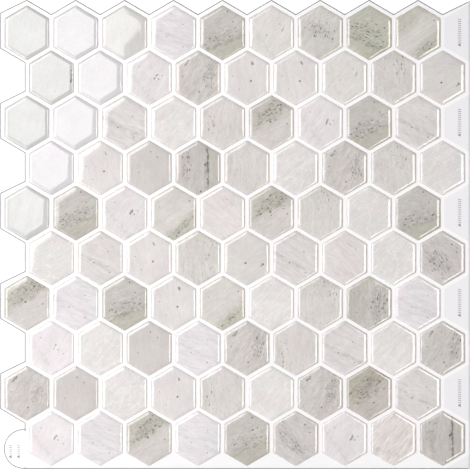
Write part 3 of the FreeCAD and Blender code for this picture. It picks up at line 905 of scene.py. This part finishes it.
def make_film_material():
    """Calendered PVC film, printed white: satin, with a fine emboss."""
    material, tree, shader = new_material("calendered_white_pvc_film")
    here = surface_place(tree)
    x, y, _ = here.parts()
    colour = lay_over(clouds(here, 9, 3.0).fade(0.3, 0.7, 0.0, 0.25), linear(FILM_WHITE), linear(FILM_SHADE))
    colour = lay_over(blank_cell_mask(x, y), colour, linear(CELL_GREY))
    grain = clouds(here, EMBOSS_GRAIN)
    # painted edge shadow, left out beside the tab and weaker along the right edge
    cut_surface_with_painted_shadow(shader, colour, grain.fade(0.2, 0.8, 0.42, 0.55), edge_shadow_left_out(x, y))
    bump = add_node(tree, "ShaderNodeBump", {"Strength": 0.12, "Distance": EMBOSS_DEPTH, "Height": grain})
    fill(shader, {"Normal": bump.outputs[0], "IOR": FILM_IOR})
    return material


film.data.materials.clear()
film.data.materials.append(make_film_material())
print("The film's material has", len(film.data.materials[0].node_tree.nodes), "nodes")

# %% [markdown]
# ## Liner paper
# The liner is bleached kraft paper with a silicone coat: smooth, nearly white, with faint cloudy fibres.
# It only shows at the tab and from below. Its fibres are far too fine to model, so clouds of noise that are
# stretched one way give the cloudiness, and a faint bump from the same noise takes the shine off evenly.

# %% The liner's material
LINER_WHITE = "#FBFBFA"
FIBRE_SHADE = "#F4F4F0"
FIBRE = 0.8  # mm across a visible fibre cloud
FIBRE_STRETCH = 0.35  # makes a cloud longer along y than across it


def make_liner_material():
    """Silicone coated kraft: smooth pale paper with a dull sheen and cloudy fibres."""
    material, tree, shader = new_material("siliconised_kraft_liner")
    cloud = clouds(surface_place(tree) * (1.0, FIBRE_STRETCH, 1.0), FIBRE, 4.0, 0.6)
    colour = lay_over(cloud.fade(0.3, 0.7, 0.0, 0.6), linear(LINER_WHITE), linear(FIBRE_SHADE))
    # painted edge shadow round the liner and its tab
    cut_surface_with_painted_shadow(shader, colour, cloud.fade(0.2, 0.8, 0.5, 0.62))
    bump = add_node(tree, "ShaderNodeBump", {"Strength": 0.15, "Distance": EMBOSS_DEPTH, "Height": cloud})
    fill(shader, {"Normal": bump.outputs[0]})
    return material


liner.data.materials.clear()
liner.data.materials.append(make_liner_material())
print("The liner's material has", len(liner.data.materials[0].node_tree.nodes), "nodes")

# %% [markdown]
# ## Printed marks
# Small grey marks tell where the next sheet laps over and where to peel. Here they are plain: a row of ticks
# like a ruler's, with an arrow head at its end. A mark is a flat strip of ink, so it is a mesh of thin
# plates that lie on the film. Geometry Nodes puts the ticks on a line and the line in each cell.

# %% Ticks and arrows
INK_HEIGHT = 0.02 * MM
TICK_STEP = 1.35 * MM
TICK_WIDTH = 0.42 * MM
TICK_LENGTH = 2.1 * MM
HEAD_RADIUS = 1.35 * MM
HEAD_PLACE = -1.3  # steps from the first tick
MARK_LENGTH = 17.5 * MM
STRIP_TICKS, TAB_TICKS = 12, 5
STRIP_INSET = 6.5 * MM  # of the marks' middle line from the right edge
TAB_COLUMNS = (6.7 * MM, 11.9 * MM)  # from the left edge
TAB_MARK_RISE = 9.6 * MM  # of the first ticks above the lower edge
INK_GREY, THIN_INK = "#77777A", "#98989B"


def make_mark_tree():
    """Geometry Nodes: a ladder of ticks and an arrow head on each point, laid along y."""
    names = ("Step", "Tick Length", "Tick Width", "Head Radius", "Thickness")
    inputs = {"Points": "Geometry", "Ticks": "Int", **dict.fromkeys(names, "Float"), "Material": "Material"}
    tree, given = start_tree("lay_ink_marks", inputs)
    edges = {"X": given["Tick Length"], "Y": given["Tick Width"], "Z": given["Thickness"]}
    size = add_node(tree, "ShaderNodeCombineXYZ", edges).outputs[0]
    tick = add_node(tree, "GeometryNodeMeshCube", {"Size": size}).outputs[0]
    step = add_node(tree, "ShaderNodeCombineXYZ", {"Y": given["Step"]}).outputs[0]
    line = add_node(tree, "GeometryNodeMeshLine", {"Count": given["Ticks"], "Offset": step}, mode="OFFSET")
    ladder = add_node(tree, "GeometryNodeInstanceOnPoints", {"Points": line.outputs[0], "Instance": tick})
    radii = {"Radius Top": given["Head Radius"], "Radius Bottom": given["Head Radius"]}
    tip = add_node(tree, "GeometryNodeMeshCone", {"Vertices": 3, **radii, "Depth": given["Thickness"]})
    down = {"Y": Number(given["Step"]) * HEAD_PLACE, "Z": Number(given["Thickness"]) * -0.5}
    place = add_node(tree, "ShaderNodeCombineXYZ", down).outputs[0]
    pose = {"Geometry": tip.outputs["Mesh"], "Translation": place, "Rotation": (0, 0, math.pi)}
    head = add_node(tree, "GeometryNodeTransform", pose)
    whole = add_node(tree, "GeometryNodeJoinGeometry")
    for part in (ladder, head):
        fill(whole, {0: part.outputs[0]})
    places = {"Points": given["Points"], "Instance": whole.outputs[0]}
    laid = add_node(tree, "GeometryNodeInstanceOnPoints", places)
    real = add_node(tree, "GeometryNodeRealizeInstances", {0: laid.outputs[0]})
    inked = add_node(tree, "GeometryNodeSetMaterial", {0: real.outputs[0], "Material": given["Material"]})
    add_node(tree, "NodeGroupOutput", {0: inked.outputs[0]})
    return tree


def make_ink_material():
    """Flexo ink on film: thin matt grey that covers unevenly."""
    material, tree, shader = new_material("grey_flexo_ink")
    thin = clouds(surface_place(tree), 0.7).fade(0.35, 0.65, 0.0, 0.5)
    fill(shader, {"Base Color": lay_over(thin, linear(INK_GREY), linear(THIN_INK)), "Roughness": 0.6})
    return material


mark_tree = make_mark_tree()
mark_values = {
    "Step": TICK_STEP,
    "Tick Length": TICK_LENGTH,
    "Tick Width": TICK_WIDTH,
    "Head Radius": HEAD_RADIUS,
    "Thickness": INK_HEIGHT,
    "Material": make_ink_material(),
}


def print_marks(name, places, ticks):
    """Marks of that many ticks, each with its first tick at a place."""
    points = loose_points(f"{name}_points", [place + Vector((0, 0, INK_HEIGHT / 2)) for place in places])
    marks = run_tree(points, mark_tree, {**mark_values, "Ticks": ticks}, name)
    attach(marks, "root")
    print(name, "has", len(marks.data.polygons), "faces")


first_tick = MARK_LENGTH / 2 - 2 * TICK_STEP  # below the middle of the cell
strip_x = CAD_BOX[1].x - STRIP_INSET
strip_heights = [row_centres(node)[0].y - first_tick for node in ROW_NODES[::2]]
print_marks("overlap_marks", [Vector((strip_x, y, FILM_TOP)) for y in strip_heights], STRIP_TICKS)
tab_corner = Vector((CAD_BOX[0].x, CAD_BOX[0].y + TAB_MARK_RISE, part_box("release_liner")[1].z))
tab_places = [tab_corner + Vector((x, 0, 0)) for x in TAB_COLUMNS]
print_marks("peel_mark", tab_places, TAB_TICKS)

# %% [markdown]
# ## The floor
# The sheet lies on a plain pale floor. A catalogue picture has a pure white background, so what the camera
# sees of the floor is its own diffuse colour plus a little glow, just enough to reach white and still keep
# the shadow at the sheet's edge.

# %% A pale floor
FLOOR_SIZE = 4.0
FLOOR_GAP = 0.05 * MM
FLOOR_WHITE = "#F0F0F0"
FLOOR_GLOW = 0.3


def seen_directly(tree):
    """1 for rays from the camera or a mirror, 0 for those that gather light."""
    path = add_node(tree, "ShaderNodeLightPath").outputs
    rays = [Number(path[f"Is {name} Ray"]) for name in ("Camera", "Glossy", "Transmission")]
    return reduce(Number.at_least, rays)


def make_floor():
    """A large pale plane under the sheet."""
    mesh = bpy.data.meshes.new("floor")
    half = FLOOR_SIZE / 2
    corners = [(-half, -half, 0), (half, -half, 0), (half, half, 0), (-half, half, 0)]
    mesh.from_pydata(corners, [], [(0, 1, 2, 3)])
    floor = put_in_scene("floor", mesh)
    floor.location.z = CAD_BOX[0].z - FLOOR_GAP
    material, tree, shader = new_material("painted_white_table")
    fill(shader, {"Base Color": linear(FLOOR_WHITE), "Roughness": 0.9})
    glow = add_node(tree, "ShaderNodeEmission", {"Strength": seen_directly(tree) * FLOOR_GLOW})
    both = add_node(tree, "ShaderNodeAddShader", {0: shader.outputs[0], 1: glow.outputs[0]})
    fill(tree.nodes["Material Output"], {"Surface": both.outputs[0]})
    mesh.materials.append(material)
    return floor


floor = make_floor()
print("The floor lies", round((CAD_BOX[0].z - floor.location.z) / MM, 2), "mm under the liner")

# %% [markdown]
# ## Camera
# The picture was taken from straight above, from far enough that the rows stay parallel. The camera stands
# over the sheet's middle, a hair below it in the picture, and its lens makes one pixel 0.65 mm.

# %% The camera
CAMERA_HEIGHT = 1.3
PICTURE_WIDTH = 0.3052  # metres across the picture at the film
CAMERA_PLACE = (0.03 * MM, -0.42 * MM)
SENSOR_WIDTH = 36  # mm


def make_camera():
    """Looks straight down at the sheet."""
    data = bpy.data.cameras.new("camera")
    data.sensor_width = SENSOR_WIDTH
    data.lens = SENSOR_WIDTH * (CAMERA_HEIGHT - FILM_TOP) / PICTURE_WIDTH
    camera = put_in_scene("camera", data)
    camera.location = (*CAMERA_PLACE, CAMERA_HEIGHT)
    bpy.context.scene.camera = camera
    return camera


print("Lens", round(make_camera().data.lens, 1), "mm")

# %% [markdown]
# ## Light
# Two things are asked of the light, and a studio gives each its own tool. Even light for the colours comes
# from a pale surround and a large lamp at the upper left. What the glossy gel mirrors is set by three pale
# cards, which only show in reflections. The glare card's wavy edge runs across the corner tiles and washes
# them. The far card lights the left rims. The right card is an L: its long side draws the bright line inside
# each tile's right rim, and its foot the one at the lower right.

# %% Surround, lamp and cards
CARD_HEIGHT = 0.6
SURROUND = 0.36  # how bright the surround is where it only gives light
LAMP_PLACE = (-0.5, -0.1, 1.1)
LAMP_WIDTH = 0.9
LAMP_POWER = 11.8
WHITE = "#FFFFFF"
WARM_WHITE = "#FFFCF2"
# Each card's strength, its colour and its corners in metres, as seen from above
CARDS = {
    "glare_card": (6.8, WHITE, [
        (-0.06, 0.52), (-0.06, 0.26), (-0.101, 0.22), (-0.093, 0.2095), (-0.0895, 0.2), (-0.0875, 0.196),
        (-0.0915, 0.192), (-0.093, 0.1885), (-0.099, 0.1815), (-0.104, 0.178), (-0.1055, 0.17),
        (-0.103, 0.15), (-0.197, -0.0225), (-0.235, -0.06), (-0.24, 0.05), (-0.25, 0.19), (-0.23, 0.52),
    ]),
    "far_card": (11.0, WHITE, [
        (-0.23, 0.58), (-0.76, 0.58), (-0.76, -0.42), (-0.38, -0.42), (-0.37, -0.1), (-0.33, 0.05),
        (-0.25, 0.19),
    ]),
    "right_card": (13.0, WARM_WHITE, [
        (0.29, 0.25), (0.29, -0.58), (0.41, -0.58), (0.41, -0.25), (0.74, -0.25), (0.74, 0.25),
    ]),
}


def make_surround():
    """A white surround for the camera and for mirrors, and a softer one for the colours."""
    world = bpy.data.worlds.new("studio")
    world.use_nodes = True
    bpy.context.scene.world = world
    strength = seen_directly(world.node_tree) * (1.0 - SURROUND) + SURROUND
    fill(world.node_tree.nodes["Background"], {"Color": linear(WHITE), "Strength": strength})


def make_lamp(name, place, width, power):
    """A large square white lamp aimed at the sheet, which mirrors don't show."""
    data = bpy.data.lights.new(name, "AREA")
    data.shape = "SQUARE"
    data.size = width
    data.energy = power
    lamp = put_in_scene(name, data)
    lamp.location = place
    lamp.rotation_euler = (-Vector(place)).to_track_quat("-Z", "Y").to_euler()
    lamp.visible_camera = False
    lamp.visible_glossy = False


def make_card(name, strength, colour, corners):
    """A glowing card above the sheet that shows only in reflections."""
    mesh = bpy.data.meshes.new(name)
    mesh.from_pydata([(x, y, CARD_HEIGHT) for x, y in corners], [], [tuple(range(len(corners)))])
    card = put_in_scene(name, mesh)
    material, tree, shader = new_material(f"{name}_glow")
    tree.nodes.remove(shader)
    glow = add_node(tree, "ShaderNodeEmission", {"Color": linear(colour), "Strength": strength})
    fill(tree.nodes["Material Output"], {"Surface": glow.outputs[0]})
    mesh.materials.append(material)
    card.visible_camera = card.visible_diffuse = card.visible_shadow = False


make_surround()
make_lamp("window_lamp", LAMP_PLACE, LAMP_WIDTH, LAMP_POWER)
for name, card in CARDS.items():
    make_card(name, *card)
bpy.context.scene.view_settings.view_transform = "Standard"
print("The lamp stands", round(Vector(LAMP_PLACE).length, 2), "m from the sheet")
